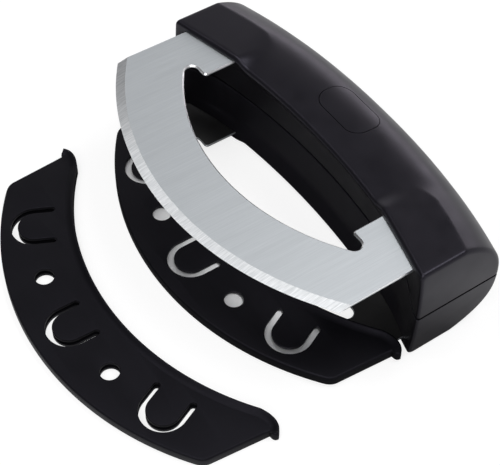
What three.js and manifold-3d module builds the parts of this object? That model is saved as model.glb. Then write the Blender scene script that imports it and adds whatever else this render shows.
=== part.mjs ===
// Double mezzaluna: a rocking chopper with two curved blades, a black two-shell handle and two blade
// guards. It lies on its side as photographed, one guard fitted to the lower blade and one beside it.
// Lengths are millimetres. X runs along the blades, Y from the cutting edges to the handle's back, and
// Z across the two blades, upwards. Y is measured from the grip's underside at mid length.

import * as THREE from 'three';
import { mergeVertices } from 'three/addons/utils/BufferGeometryUtils.js';
import Module from 'manifold-3d';

const wasm = await Module();
wasm.setup();

// Blades
const BLADE_LENGTH = 162;
const BLADE_THICKNESS = 1.4;
const BLADE_SPACING = 45.2; // between the middle planes of the two blades
const BLADE_DEPTH = 28.5; // from the cutting edge to the inner arc at mid length
const EDGE_RADIUS = 134; // of the cutting edge
const INNER_RADIUS = 100.3; // of the blade's inner arc
const BEVEL_WIDTH = 4;
const EDGE_LAND = 0.3; // steel left at the cutting edge
const TANG_WIDTH = 28.2;
const TANG_LENGTH = 20.5; // held inside the handle's foot
const TANG_CORNER = 1.6;
const NOTCH_RADIUS = 3.3; // rounded notch where the tang meets the inner arc
const NOTCH_REACH = 8.5; // from the tang's inner edge to the notch's far side

// Handle, two shells that meet on the middle plane
const FINGER_GAP = 50.2; // from the blade's inner arc to the grip at mid length
const GRIP_HEIGHT = 36.5; // from the underside to the back at mid length
const HANDLE_OVERHANG = 8; // past each end of the blades
const BACK_DROP = 12; // the back is this much lower at the handle's ends
const BACK_POWER = 2.14;
const SHOULDER_MIDDLE = 16.8; // height at mid length of the line that the pads' upper creases lie on
const SHOULDER_END = 4.6; // its height at the handle's ends
const SHOULDER_POWER = 2.3;
const CROWN_POWER = 2.25; // how full the grip's rounded crown is
const GRIP_ROLL = 5.5; // the grip's crown starts this far below that line
const FOOT_CROWN_POWER = 2.6;
const WAIST_INSET = 0.4; // the grip's side behind the plane of the foot pads
const FOOT_SWELL = 4; // the feet's uncut side beyond that plane, which makes the pads' upper crease
const SWELL_LENGTH = 16; // length over which the grip's crown turns into the foot's
const LIP_INSET = 2; // the grip's lower lip behind the plane of the foot pads
const LIP_DROP = 5.3; // the lower lip below the underside's middle line
const LIP_ROUND = 2;
const FOOT_DROP = 9.2; // the foot's underside at its inner edge
const FOOT_SLOPE = 0.241; // the foot's underside falls this much per millimetre outwards
const FOOT_BLEND = 8; // length over which the grip's lip widens into the foot
const VALLEY_WIDTH = 31.6; // the shallow valley between the two creases of the underside
const VALLEY_DEPTH = 1.6;
const VALLEY_ARCH = 4.5; // drop of the valley's middle line at the feet
const VALLEY_END = 22; // the valley closes over this length at each end
const END_BOW = 1.5; // the end faces bulge by this much
const END_ROUND = 1.6;
const PAD_COVER = 2.7; // plastic over the tang on the flat pads of the feet
const SHELL_WALL = 2.4;
const SEAM_GAP = 0.3;

// Fixings inside the handle
const SCREW_DIAMETER = 3.5;
const SCREW_LENGTH = 36;
const HEAD_DIAMETER = 5.6;
const HEAD_HEIGHT = 2.4;
const HEAD_RIM = 1.4; // height of the head's straight side
const HEAD_CHAMFER = 0.8;
const CROSS_LENGTH = 3.4; // recess for the driver
const CROSS_WIDTH = 0.9;
const CROSS_DEPTH = 1.2;
const POINT_DIAMETER = 1.4; // flat end of the screw's point
const POINT_LENGTH = 2.6;
const HEAD_RECESS = 5; // from the plane of the foot pads down to the top of the head
const BOSS_DIAMETER = 8;
const FOOT_BOSS_HEIGHT = 1.5; // height of the foot screws above the grip's underside
const GRIP_BOSS_HEIGHT = 14;
const GRIP_BOSS_SPACING = 56;
const SLEEVE_WALL = 1.5;
const FIT_GAP = 0.3; // between pieces that are fitted together

// Rounded field on the front shell
const FIELD_LENGTH = 29.4;
const FIELD_HEIGHT = 17.1;
const FIELD_CORNER = 7;
const FIELD_CENTRE_HEIGHT = 14;
const FIELD_DEPTH = 1.2;

// Blade guards
const GUARD_WALL = 1.4;
const GUARD_RIM = 4.1; // from the cutting edge to the guard's outer edge
const GUARD_RADIUS = 131; // of the outer edge
const GUARD_MOUTH_RADIUS = 123;
const GUARD_MOUTH_RISE = 2.2; // the mouth stands this much above the blade's inner arc at mid length
const GUARD_END_WALL = 2.2; // at the blade's tip
const GUARD_END_FLARE = 2.4; // the end walls lean out by this much towards the mouth
const GUARD_PLAY = 1; // room past the blade's tips and below its cutting edge
const GUARD_CORNER = 2.8; // length of each rounded lower corner along its two edges
const GUARD_EDGE_ROUND = 1;
const GUARD_BASE_CHAMFER = 0.5;
const MOUTH_LIP_WIDTH = 3.8; // flared lip along the mouth
const MOUTH_LIP_RISE = 1.3;
const MOUTH_LIP_TOP = 0.53; // flat crest of the lip
const MOUTH_LIP_SETBACK = 0.23; // from the mouth's edge to the crest
const MOUTH_LIP_HOLLOW = 0.35; // share of the rise that the lip has reached halfway across
const MOUTH_LIP_EAR = 2.9; // the lip's ends stand out past the end walls
const EAR_DEPTH = 2.3; // from the ear's tip down to the end wall
const EAR_START = 7.6; // the mouth's arc ends this far inside the end wall's outer face
const EAR_TURN = 4.35; // the line bends over to the ear this far before its tip
const EAR_CREST = 4.4; // height that the bend aims at
const PATTERN_RADIUS = 131; // row of tongues and holes
const PATTERN_STEP = 12.45; // degrees between neighbours in the row
const PATTERN_HEIGHT = 64.8; // centre of the row's arc above the grip's underside
const TONGUE_RADIUS = 8.75; // middle of the slot round each spring tongue
const TONGUE_LEG = 7.6;
const TONGUE_SLOT = 2.9;
const HOLE_DIAMETER = 8.3;

// Where the loose guard lies, seen from the fitted one
const LOOSE_OFFSET_X = 2.3;
const LOOSE_OFFSET_Y = 60.1;
const LOOSE_TURN = 1.4; // degrees

const HALF_LENGTH = BLADE_LENGTH / 2 + HANDLE_OVERHANG;
const FOOT_INNER = BLADE_LENGTH / 2 - TANG_WIDTH;
const FOOT_MIDDLE = BLADE_LENGTH / 2 - TANG_WIDTH / 2;
const GUARD_THICKNESS = BLADE_THICKNESS + 2 * FIT_GAP + 2 * GUARD_WALL;
const PAD_HALF = BLADE_SPACING / 2 + BLADE_THICKNESS / 2 + PAD_COVER;
const INNER_CENTRE = INNER_RADIUS - FINGER_GAP;
const EDGE_LOW = -FINGER_GAP - BLADE_DEPTH;
const EDGE_CENTRE = EDGE_LOW + EDGE_RADIUS;
const PAST = 1; // how far a cutting tool runs past the face that it cuts
const ROUND_MIDDLE = 0.3; // a rounded edge's middle point lies this share of its radius from both faces
const ROD_SIDES = 24;
// Facets up a side and over the crown of the handle, and the length of a step along it
const FINE = { side: 3, crown: 10, step: 6 };
const COARSE = { side: 2, crown: 6, step: 11 };

const BLACK_PLASTIC = { color: 0x1f1f22, roughness: 0.45, metalness: 0 };
const GUARD_PLASTIC = { color: 0x18181a, roughness: 0.5, metalness: 0 };
const BLADE_STEEL = { color: 0xb9c0c4, roughness: 0.3, metalness: 1 };
const SCREW_STEEL = { color: 0x9a9da0, roughness: 0.4, metalness: 1 };
const SLEEVE_PLASTIC = { color: 0xd8d6cf, roughness: 0.6, metalness: 0 };

// A closed geometry from points and triangles, turned so that its faces point outwards.
function closedGeometry(points, triangles) {
  let volume = 0;
  for (const [a, b, c] of triangles) {
    volume += points[a].dot(new THREE.Vector3().crossVectors(points[b], points[c]));
  }
  const ordered = volume < 0 ? triangles.map(([a, b, c]) => [a, c, b]) : triangles;
  const geometry = new THREE.BufferGeometry();
  geometry.setAttribute('position', new THREE.Float32BufferAttribute(points.flatMap((p) => p.toArray()), 3));
  geometry.setIndex(ordered.flat());
  return geometry;
}

// A solid through rings of points. Every ring has as many points as the first, and capPlane turns a
// point into the two coordinates in which the first and last rings are filled.
function loft(rings, capPlane) {
  const count = rings[0].length;
  const triangles = [];
  for (let ring = 0; ring + 1 < rings.length; ring += 1) {
    for (let i = 0; i < count; i += 1) {
      const next = (i + 1) % count;
      const low = ring * count;
      const high = low + count;
      triangles.push([low + i, low + next, high + next], [low + i, high + next, high + i]);
    }
  }
  const last = (rings.length - 1) * count;
  const flat = (ring) => ring.map((point) => capPlane(point));
  const capDirection = THREE.ShapeUtils.isClockWise(flat(rings[0]));
  for (const [a, b, c] of THREE.ShapeUtils.triangulateShape(flat(rings[0]), [])) {
    triangles.push(capDirection ? [a, b, c] : [a, c, b]);
  }
  for (const [a, b, c] of THREE.ShapeUtils.triangulateShape(flat(rings[rings.length - 1]), [])) {
    triangles.push(capDirection ? [last + a, last + c, last + b] : [last + a, last + b, last + c]);
  }
  return closedGeometry(rings.flat(), triangles);
}

// A solid through outlines in X and Y at rising heights.
function layers(list) {
  const rings = list.map(({ outline, z }) => outline.map((p) => new THREE.Vector3(p.x, p.y, z)));
  return loft(rings, (point) => new THREE.Vector2(point.x, point.y));
}

function prism(outline, low, high) {
  return layers([{ outline, z: low }, { outline, z: high }]);
}

function rod(x, y, radius, low, high) {
  const geometry = new THREE.CylinderGeometry(radius, radius, high - low, ROD_SIDES);
  geometry.rotateX(Math.PI / 2);
  geometry.translate(x, y, (low + high) / 2);
  return geometry;
}

function solid(geometry) {
  const bare = geometry.clone();
  bare.deleteAttribute('normal');
  bare.deleteAttribute('uv');
  const merged = mergeVertices(bare, 1e-4);
  return new wasm.Manifold(new wasm.Mesh({
    numProp: 3,
    vertProperties: new Float32Array(merged.getAttribute('position').array),
    triVerts: new Uint32Array(merged.getIndex().array),
  }));
}

function geometryOf(body) {
  const { vertProperties, triVerts } = body.getMesh();
  const geometry = new THREE.BufferGeometry();
  geometry.setAttribute('position', new THREE.BufferAttribute(vertProperties, 3));
  geometry.setIndex(new THREE.BufferAttribute(triVerts, 1));
  geometry.computeVertexNormals();
  return geometry;
}

function piece(name, body, look) {
  const mesh = new THREE.Mesh(geometryOf(body), new THREE.MeshStandardMaterial(look));
  mesh.name = name;
  return mesh;
}

function arc(x, y, radius, from, to, steps) {
  const points = [];
  for (let i = 0; i <= steps; i += 1) {
    const angle = THREE.MathUtils.degToRad(from + ((to - from) * i) / steps);
    points.push(new THREE.Vector2(x + radius * Math.cos(angle), y + radius * Math.sin(angle)));
  }
  return points;
}

// Height of a downward-bulging arc at a given X.
function arcHeight(centre, radius, x) {
  return centre - Math.sqrt(radius * radius - x * x);
}

// An arc across the part from left to right, evenly spaced in X.
function bowl(centre, radius, halfLength, steps) {
  const points = [];
  for (let i = 0; i <= steps; i += 1) {
    const x = -halfLength + (2 * halfLength * i) / steps;
    points.push(new THREE.Vector2(x, arcHeight(centre, radius, x)));
  }
  return points;
}

function mirrorX(points) {
  return points.map((p) => new THREE.Vector2(-p.x, p.y)).reverse();
}

// Moves each point of a closed, anticlockwise outline inwards along the average of its edges' normals.
function insetOutline(outline, distance) {
  return outline.map((point, i) => {
    const before = outline[(i + outline.length - 1) % outline.length];
    const after = outline[(i + 1) % outline.length];
    const along = new THREE.Vector2().subVectors(point, before).normalize();
    along.add(new THREE.Vector2().subVectors(after, point).normalize()).normalize();
    return new THREE.Vector2(point.x - along.y * distance, point.y + along.x * distance);
  });
}

function smoothStep(value, from, to) {
  return THREE.MathUtils.smoothstep(value, from, to);
}

// Underside of the handle's feet and of the grip's lower lip.
function lipHeight(x) {
  const reach = Math.abs(x);
  if (reach > FOOT_INNER) {
    return -FOOT_DROP - FOOT_SLOPE * (reach - FOOT_INNER);
  }
  return -LIP_DROP - (FOOT_DROP - LIP_DROP) * (reach / FOOT_INNER) ** 2;
}

// Middle line of the underside, where the two shells meet. It falls to the feet's underside at the ends.
function valleyHeight(x) {
  const reach = Math.abs(x);
  const open = -VALLEY_ARCH * (reach / FOOT_INNER) ** 2;
  const closing = smoothStep(reach, HALF_LENGTH - VALLEY_END, HALF_LENGTH);
  return THREE.MathUtils.lerp(open, lipHeight(x), closing);
}

// The crown is a flattened ellipse. This is its height where it has the given share of its half width.
function crownRise(widthShare, power) {
  return (1 - Math.min(widthShare, 1) ** power) ** (1 / power);
}

// Half of the handle's cross-section at X, from the underside's middle line round to the back's middle
// line. The plane of the foot pads cuts off the feet's crown, and the grip's crown blends into it. inset
// moves the section inwards, as for the cavity. Points are in Y and Z.
function handleSection(x, inset, facets) {
  const share = Math.min(Math.abs(x) / HALF_LENGTH, 1);
  const back = GRIP_HEIGHT - BACK_DROP * share ** BACK_POWER;
  const shoulder = SHOULDER_MIDDLE - (SHOULDER_MIDDLE - SHOULDER_END) * share ** SHOULDER_POWER;
  const swell = smoothStep(Math.abs(x), FOOT_INNER - SWELL_LENGTH / 2, FOOT_INNER + SWELL_LENGTH / 2);
  const widen = smoothStep(Math.abs(x), FOOT_INNER - FOOT_BLEND, FOOT_INNER);
  const lipHalf = PAD_HALF - LIP_INSET * (1 - widen) - inset;
  const lip = lipHeight(x) + inset;
  const valley = valleyHeight(x) + inset;
  const closing = smoothStep(Math.abs(x), HALF_LENGTH - VALLEY_END, HALF_LENGTH);
  const crease = Math.max(valley - VALLEY_DEPTH * (1 - closing), lip);
  const points = [
    new THREE.Vector2(valley, 0),
    new THREE.Vector2(crease, VALLEY_WIDTH / 2),
    new THREE.Vector2(lip, lipHalf - LIP_ROUND),
    new THREE.Vector2(lip + ROUND_MIDDLE * LIP_ROUND, lipHalf - ROUND_MIDDLE * LIP_ROUND),
    new THREE.Vector2(lip + LIP_ROUND, lipHalf),
  ];
  // Point of a crown with this half width, from its start (t = 0) to the back (t = 1).
  const crownPoint = (half, power, start, t) => {
    const rise = (back - start) / (1 - crownRise(PAD_HALF / half, power)) - inset;
    const side = half - inset;
    const cutAngle = Math.asin(Math.min(1, ((PAD_HALF - inset) / side) ** (power / 2)));
    const angle = cutAngle * (1 - t);
    return new THREE.Vector2(
      back - inset - rise * (1 - Math.cos(angle) ** (2 / power)),
      side * Math.sin(angle) ** (2 / power),
    );
  };
  const blendedCrown = (t) => {
    const grip = crownPoint(PAD_HALF - WAIST_INSET, CROWN_POWER, shoulder - GRIP_ROLL, t);
    const foot = crownPoint(PAD_HALF + FOOT_SWELL, FOOT_CROWN_POWER, shoulder, t);
    return grip.lerp(foot, swell);
  };
  const edge = blendedCrown(0);
  for (let i = 1; i <= facets.side; i += 1) {
    const t = i / facets.side;
    points.push(new THREE.Vector2(
      THREE.MathUtils.lerp(lip + LIP_ROUND, edge.x, t),
      THREE.MathUtils.lerp(lipHalf, edge.y, 1 - (1 - t) ** 2),
    ));
  }
  for (let i = 1; i < facets.crown; i += 1) {
    points.push(blendedCrown(i / facets.crown));
  }
  points.push(new THREE.Vector2(back - inset, 0));
  return points;
}

// Stations along the handle, closer together where the pads begin.
function stations(halfLength, step) {
  const half = [];
  for (let x = 0; x < FOOT_INNER - FOOT_BLEND - step / 2; x += step) {
    half.push(x);
  }
  for (let x = FOOT_INNER - FOOT_BLEND; x < FOOT_INNER + FOOT_BLEND; x += step / 2) {
    half.push(x);
  }
  for (let x = FOOT_INNER + FOOT_BLEND; x < halfLength - step / 2; x += step) {
    half.push(x);
  }
  half.push(halfLength);
  return [...half.slice(1).reverse().map((x) => -x), ...half];
}

// Half of the handle's body, above the plane Z = low, pulled in by inset all round.
function handleHalf(inset, low, facets) {
  const halfLength = HALF_LENGTH - inset;
  const rings = [];
  const addRing = (x, shrink) => {
    const section = handleSection(x, inset + shrink, facets);
    const bow = END_BOW * smoothStep(Math.abs(x), HALF_LENGTH - VALLEY_END, HALF_LENGTH);
    const place = (y, z) => {
      const along = Math.abs(x) - bow * (z / PAD_HALF) ** 2;
      return new THREE.Vector3(Math.sign(x) * along, y, z);
    };
    rings.push(section.map((p) => place(p.x, Math.max(p.y, low))));
  };
  const inner = stations(halfLength - END_ROUND, facets.step);
  const middle = ROUND_MIDDLE * END_ROUND;
  const rounding = [[halfLength, END_ROUND], [halfLength - middle, middle]];
  rounding.forEach(([x, shrink]) => addRing(-x, shrink));
  inner.forEach((x) => addRing(x, 0));
  rounding.reverse().forEach(([x, shrink]) => addRing(x, shrink));
  return solid(loft(rings, (point) => new THREE.Vector2(point.y, point.z)));
}

// The blade seen from its outer face. edgeRadius is smaller on the face that carries the bevel.
function bladeOutline(edgeRadius) {
  const end = BLADE_LENGTH / 2;
  const notchX = FOOT_INNER + NOTCH_REACH - NOTCH_RADIUS;
  const notchY = arcHeight(INNER_CENTRE, INNER_RADIUS - NOTCH_RADIUS, notchX);
  const notchTop = notchY + NOTCH_RADIUS;
  const meet = THREE.MathUtils.radToDeg(Math.atan2(notchY - INNER_CENTRE, notchX));
  const meetX = INNER_RADIUS * Math.cos(THREE.MathUtils.degToRad(meet));
  const edge = bowl(EDGE_CENTRE, edgeRadius, end, 40);
  const tang = [
    new THREE.Vector2(end, lipHeight(end) + TANG_LENGTH),
    new THREE.Vector2(FOOT_INNER, lipHeight(FOOT_INNER) + TANG_LENGTH),
    ...arc(FOOT_INNER + TANG_CORNER, notchTop + TANG_CORNER, TANG_CORNER, 180, 270, 5),
    ...arc(notchX, notchY, NOTCH_RADIUS, 90, meet, 12),
  ];
  const inner = bowl(INNER_CENTRE, INNER_RADIUS, meetX, 32).slice(1, -1).reverse();
  return [...edge, ...tang, ...inner, ...mirrorX(tang)];
}

function tangHole(side) {
  const radius = BOSS_DIAMETER / 2 + FIT_GAP;
  return rod(side * FOOT_MIDDLE, FOOT_BOSS_HEIGHT, radius, -BLADE_SPACING, BLADE_SPACING);
}

// Blade about its own middle plane, with the ground bevel on the +Z face.
function bladeBody() {
  const half = BLADE_THICKNESS / 2;
  let body = solid(layers([
    { outline: bladeOutline(EDGE_RADIUS), z: -half },
    { outline: bladeOutline(EDGE_RADIUS), z: -half + EDGE_LAND },
    { outline: bladeOutline(EDGE_RADIUS - BEVEL_WIDTH), z: half },
  ]));
  for (const side of [-1, 1]) {
    body = body.subtract(solid(tangHole(side)));
  }
  return body;
}

// Room for one tang in a shell, from below the foot to just above the tang.
function tangSlot(side) {
  const inner = FOOT_INNER - FIT_GAP;
  const outer = BLADE_LENGTH / 2 + FIT_GAP;
  const outline = [
    new THREE.Vector2(side * inner, lipHeight(outer) - PAST),
    new THREE.Vector2(side * outer, lipHeight(outer) - PAST),
    new THREE.Vector2(side * outer, lipHeight(outer) + TANG_LENGTH + FIT_GAP),
    new THREE.Vector2(side * inner, lipHeight(inner) + TANG_LENGTH + 2 * FIT_GAP),
  ];
  const half = BLADE_THICKNESS / 2 + FIT_GAP;
  return solid(prism(outline, BLADE_SPACING / 2 - half, BLADE_SPACING / 2 + half));
}

const SCREW_PLACES = [
  { name: 'foot_screw_left', x: -FOOT_MIDDLE, y: FOOT_BOSS_HEIGHT },
  { name: 'foot_screw_right', x: FOOT_MIDDLE, y: FOOT_BOSS_HEIGHT },
  { name: 'grip_screw_left', x: -GRIP_BOSS_SPACING / 2, y: GRIP_BOSS_HEIGHT },
  { name: 'grip_screw_right', x: GRIP_BOSS_SPACING / 2, y: GRIP_BOSS_HEIGHT },
];
const HEAD_TOP = PAD_HALF - HEAD_RECESS;
const HEAD_SEAT = HEAD_TOP - HEAD_HEIGHT;

// Outer shell half with its cavity, tang slots and screw bosses, above the middle plane.
function shellBlank() {
  const seam = SEAM_GAP / 2;
  let body = handleHalf(0, seam, FINE).subtract(handleHalf(SHELL_WALL, -PAST, COARSE));
  for (const side of [-1, 1]) {
    body = body.subtract(tangSlot(side));
  }
  for (const { x, y } of SCREW_PLACES) {
    const boss = solid(rod(x, y, BOSS_DIAMETER / 2, seam, PAD_HALF));
    body = body.add(boss.intersect(handleHalf(SHELL_WALL / 2, -PAST, COARSE)));
  }
  return body;
}

function fieldOutline(grow) {
  const halfLength = FIELD_LENGTH / 2 - FIELD_CORNER;
  const halfHeight = FIELD_HEIGHT / 2 - FIELD_CORNER;
  const y = FIELD_CENTRE_HEIGHT;
  const radius = FIELD_CORNER + grow;
  return [
    ...arc(halfLength, y - halfHeight, radius, -90, 0, 6),
    ...arc(halfLength, y + halfHeight, radius, 0, 90, 6),
    ...arc(-halfLength, y + halfHeight, radius, 90, 180, 6),
    ...arc(-halfLength, y - halfHeight, radius, 180, 270, 6),
  ];
}

// The layer of the front shell's skin inside the rounded field, down to a depth.
function fieldLayer(grow, depth) {
  const column = solid(prism(fieldOutline(grow), PAD_HALF / 2, PAD_HALF + PAST));
  return column.subtract(handleHalf(depth, -PAST, FINE));
}

function frontShellBody(blank) {
  let body = blank.subtract(fieldLayer(FIT_GAP / 2, FIELD_DEPTH));
  const pilotEnd = HEAD_SEAT - SCREW_LENGTH - FIT_GAP;
  for (const { x, y } of SCREW_PLACES) {
    body = body.subtract(solid(rod(x, y, SCREW_DIAMETER / 2 + FIT_GAP, -PAST, -pilotEnd)));
  }
  return body;
}

function fieldBody() {
  const skin = handleHalf(0, SEAM_GAP / 2, FINE);
  return fieldLayer(-FIT_GAP / 2, FIELD_DEPTH - FIT_GAP).intersect(skin);
}

// The back shell is drawn above the middle plane as well, and turned over when it is placed.
function backShellBody(blank) {
  let body = blank;
  for (const { x, y } of SCREW_PLACES) {
    body = body.subtract(solid(rod(x, y, HEAD_DIAMETER / 2 + FIT_GAP, HEAD_SEAT - FIT_GAP, PAD_HALF + PAST)));
    body = body.subtract(solid(rod(x, y, SCREW_DIAMETER / 2 + FIT_GAP, -PAST, HEAD_SEAT)));
  }
  return body;
}

// A pan-head screw with a cross recess, its head up and its head seat at Z = 0.
function screwBody() {
  const radius = SCREW_DIAMETER / 2;
  const profile = [
    new THREE.Vector2(0, -SCREW_LENGTH),
    new THREE.Vector2(POINT_DIAMETER / 2, -SCREW_LENGTH),
    new THREE.Vector2(radius, -SCREW_LENGTH + POINT_LENGTH),
    new THREE.Vector2(radius, 0),
    new THREE.Vector2(HEAD_DIAMETER / 2, 0),
    new THREE.Vector2(HEAD_DIAMETER / 2, HEAD_RIM),
    new THREE.Vector2(HEAD_DIAMETER / 2 - HEAD_CHAMFER, HEAD_HEIGHT),
    new THREE.Vector2(0, HEAD_HEIGHT),
  ];
  const turned = new THREE.LatheGeometry(profile, 20);
  turned.rotateX(Math.PI / 2);
  let body = solid(turned);
  const slot = new THREE.BoxGeometry(CROSS_LENGTH, CROSS_WIDTH, 2 * CROSS_DEPTH);
  for (const turn of [0, Math.PI / 2]) {
    const bar = slot.clone();
    bar.rotateZ(turn);
    bar.translate(0, 0, HEAD_HEIGHT);
    body = body.subtract(solid(bar));
  }
  return body;
}

// A tube over a foot's bosses that keeps the two tangs apart.
function sleeveBody() {
  const half = (BLADE_SPACING - BLADE_THICKNESS) / 2 - FIT_GAP;
  const bore = BOSS_DIAMETER / 2 + FIT_GAP;
  const tube = solid(rod(0, 0, bore + SLEEVE_WALL, -half, half));
  return tube.subtract(solid(rod(0, 0, bore, -half - PAST, half + PAST)));
}

const GUARD_LOW = EDGE_LOW - GUARD_RIM;
const GUARD_CENTRE = GUARD_LOW + GUARD_RADIUS;
const MOUTH_CENTRE = GUARD_MOUTH_RISE - FINGER_GAP + GUARD_MOUTH_RADIUS;

// The guard's mouth from its left ear to its right one.
function mouthLine() {
  const reach = BLADE_LENGTH / 2 + GUARD_END_WALL - EAR_START;
  const line = bowl(MOUTH_CENTRE, GUARD_MOUTH_RADIUS, reach, 24);
  const start = line[line.length - 1];
  const earX = BLADE_LENGTH / 2 + GUARD_END_WALL + GUARD_END_FLARE + MOUTH_LIP_EAR;
  const bend = new THREE.Vector2(earX - EAR_TURN, start.y + EAR_CREST);
  const ear = new THREE.Vector2(earX, start.y);
  const turn = new THREE.QuadraticBezierCurve(start, bend, ear).getPoints(8).slice(1);
  return [...mirrorX(turn), ...line, ...turn];
}

// Outline of the guard's flat body, anticlockwise from its left corner.
function guardOutline() {
  const tip = BLADE_LENGTH / 2 + GUARD_END_WALL;
  const edge = bowl(GUARD_CENTRE, GUARD_RADIUS, tip - GUARD_CORNER, 32);
  const corner = new THREE.Vector2(tip, arcHeight(GUARD_CENTRE, GUARD_RADIUS, tip));
  const mouth = mouthLine();
  const ear = mouth[mouth.length - 1];
  const endTop = new THREE.Vector2(tip + GUARD_END_FLARE, ear.y - EAR_DEPTH);
  const up = new THREE.Vector2().subVectors(endTop, corner).normalize().multiplyScalar(GUARD_CORNER);
  const cornerEnd = corner.clone().add(up);
  const edgeEnd = edge[edge.length - 1];
  const rounded = new THREE.QuadraticBezierCurve(edgeEnd, corner, cornerEnd).getPoints(6).slice(1);
  const earCorner = new THREE.Vector2(ear.x, endTop.y);
  const earSide = new THREE.QuadraticBezierCurve(endTop, earCorner, ear).getPoints(3).slice(0, -1);
  const rightEnd = [...rounded, ...earSide];
  return [...edge, ...rightEnd, ...mouth.slice().reverse(), ...mirrorX(rightEnd)];
}

// The flared lip: a wedge that climbs from the guard's face to the mouth's edge.
function lipBody() {
  const mouth = mouthLine();
  const rings = mouth.map((point, i) => {
    const before = mouth[Math.max(i - 1, 0)];
    const after = mouth[Math.min(i + 1, mouth.length - 1)];
    const along = new THREE.Vector2().subVectors(after, before).normalize();
    const inward = new THREE.Vector2(along.y, -along.x);
    const at = (distance, z) => new THREE.Vector3(
      point.x + inward.x * distance,
      point.y + inward.y * distance,
      z,
    );
    const root = GUARD_THICKNESS - GUARD_WALL / 2;
    const top = GUARD_THICKNESS + MOUTH_LIP_RISE;
    return [
      at(MOUTH_LIP_WIDTH, root),
      at(MOUTH_LIP_WIDTH, GUARD_THICKNESS),
      at(MOUTH_LIP_WIDTH / 2, GUARD_THICKNESS + MOUTH_LIP_HOLLOW * MOUTH_LIP_RISE),
      at(MOUTH_LIP_SETBACK + MOUTH_LIP_TOP, top),
      at(MOUTH_LIP_SETBACK, top),
      at(MOUTH_LIP_SETBACK, root),
    ];
  });
  return solid(loft(rings, (point) => new THREE.Vector2(point.y, point.z)));
}

// Slot round one spring tongue, drawn about the tongue's centre with its legs towards +Y.
function tongueSlotOutline() {
  const outer = TONGUE_RADIUS + TONGUE_SLOT / 2;
  const inner = TONGUE_RADIUS - TONGUE_SLOT / 2;
  const leg = TONGUE_LEG;
  return [
    ...arc(-TONGUE_RADIUS, leg, TONGUE_SLOT / 2, 0, 180, 4),
    ...arc(0, 0, outer, 180, 360, 14),
    ...arc(TONGUE_RADIUS, leg, TONGUE_SLOT / 2, 0, 180, 4),
    ...arc(0, 0, inner, 360, 180, 14),
  ];
}

// Places something in the row of tongues and holes, counted in steps from the middle.
function inRow(geometry, step) {
  const angle = THREE.MathUtils.degToRad(PATTERN_STEP * step);
  geometry.rotateZ(angle);
  geometry.translate(PATTERN_RADIUS * Math.sin(angle), PATTERN_HEIGHT - PATTERN_RADIUS * Math.cos(angle), 0);
  return solid(geometry);
}

// Guard with its flat face at Z = 0 and its lip up.
function guardBody() {
  const outline = guardOutline();
  const round = GUARD_EDGE_ROUND;
  const middle = ROUND_MIDDLE * round;
  let body = solid(layers([
    { outline: insetOutline(outline, GUARD_BASE_CHAMFER), z: 0 },
    { outline, z: GUARD_BASE_CHAMFER },
    { outline, z: GUARD_THICKNESS - round },
    { outline: insetOutline(outline, middle), z: GUARD_THICKNESS - middle },
    { outline: insetOutline(outline, round), z: GUARD_THICKNESS },
  ]));
  body = body.add(lipBody());
  const pocketHalf = BLADE_THICKNESS / 2 + FIT_GAP;
  const pocketEnd = BLADE_LENGTH / 2 + GUARD_PLAY;
  const pocket = [
    ...bowl(EDGE_CENTRE - GUARD_PLAY, EDGE_RADIUS, pocketEnd, 24),
    new THREE.Vector2(pocketEnd, 0),
    new THREE.Vector2(-pocketEnd, 0),
  ];
  const bladePlane = GUARD_THICKNESS / 2;
  body = body.subtract(solid(prism(pocket, bladePlane - pocketHalf, bladePlane + pocketHalf)));
  const top = GUARD_THICKNESS + MOUTH_LIP_RISE + PAST;
  for (const step of [-2, 0, 2]) {
    body = body.subtract(inRow(prism(tongueSlotOutline(), -PAST, top), step));
  }
  for (const step of [-1, 1]) {
    body = body.subtract(inRow(rod(0, 0, HOLE_DIAMETER / 2, -PAST, top), step));
  }
  return body;
}

// The tool about its own middle plane.
const tool = new THREE.Group();
const shell = shellBlank();
const frontShell = piece('front_shell', frontShellBody(shell), BLACK_PLASTIC);
const backShell = piece('back_shell', backShellBody(shell), BLACK_PLASTIC);
backShell.rotation.y = Math.PI;
const field = piece('field_inlay', fieldBody(), BLACK_PLASTIC);
const blade = bladeBody();
const frontBlade = piece('front_blade', blade, BLADE_STEEL);
frontBlade.position.z = BLADE_SPACING / 2;
const backBlade = piece('back_blade', blade, BLADE_STEEL);
backBlade.rotation.y = Math.PI;
backBlade.position.z = -BLADE_SPACING / 2;
tool.add(frontShell, backShell, field, frontBlade, backBlade);
const screw = screwBody();
for (const { name, x, y } of SCREW_PLACES) {
  const mesh = piece(name, screw, SCREW_STEEL);
  mesh.rotation.y = Math.PI;
  mesh.position.set(x, y, -HEAD_SEAT);
  tool.add(mesh);
}
const sleeve = sleeveBody();
for (const [name, side] of [['spacer_sleeve_left', -1], ['spacer_sleeve_right', 1]]) {
  const mesh = piece(name, sleeve, SLEEVE_PLASTIC);
  mesh.position.set(side * FOOT_MIDDLE, FOOT_BOSS_HEIGHT, 0);
  tool.add(mesh);
}
tool.position.z = PAD_HALF;

// The fitted guard holds the lower blade in its pocket, pushed to the left as far as its play allows.
// The loose one lies on the surface that the tool's foot pads rest on.
const guard = guardBody();
const fittedGuard = piece('fitted_guard', guard, GUARD_PLASTIC);
fittedGuard.position.x = -(GUARD_PLAY - FIT_GAP);
fittedGuard.position.z = PAD_HALF - BLADE_SPACING / 2 - GUARD_THICKNESS / 2;
const looseGuard = piece('loose_guard', guard, GUARD_PLASTIC);
looseGuard.position.set(LOOSE_OFFSET_X, -LOOSE_OFFSET_Y, 0);
looseGuard.rotation.z = -THREE.MathUtils.degToRad(LOOSE_TURN);

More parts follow.
